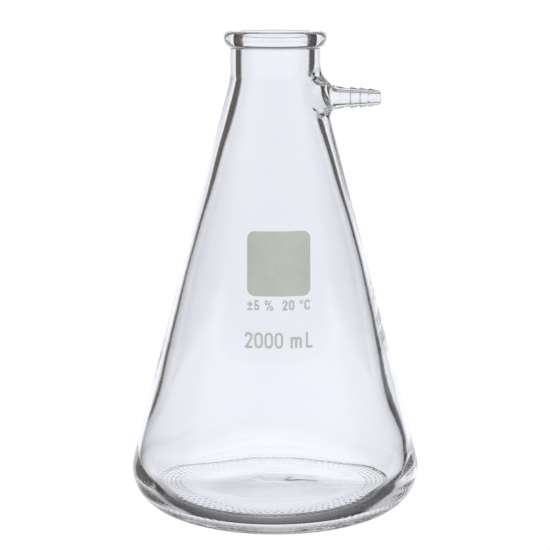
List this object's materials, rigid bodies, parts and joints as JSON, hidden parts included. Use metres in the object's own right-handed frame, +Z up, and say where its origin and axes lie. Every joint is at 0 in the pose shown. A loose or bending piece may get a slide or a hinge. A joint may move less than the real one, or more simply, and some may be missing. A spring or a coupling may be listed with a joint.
{
  "type": "buchner filter flask",
  "caption": "Heavy-wall conical glass filter flask with beaded rim, straight neck and a serrated side arm for vacuum tubing.",
  "frame": {"origin": "flask axis at the bearing plane of the base", "axes": "+Z up along the flask axis, +X along the side arm, marks on the -Y front"},
  "size_m": [0.166, 0.166, 0.2674],
  "materials": {
    "borosilicate_glass": "clear polished heavy-wall borosilicate glass",
    "fired_enamel": "thin grey-green enamel fired onto the glass, slightly matt"
  },
  "bodies": {
    "root": {"flask_body": "borosilicate_glass", "side_arm": "borosilicate_glass", "marking_patch": "fired_enamel", "tolerance_print": "fired_enamel", "capacity_print": "fired_enamel"}
  },
  "joints": []
}
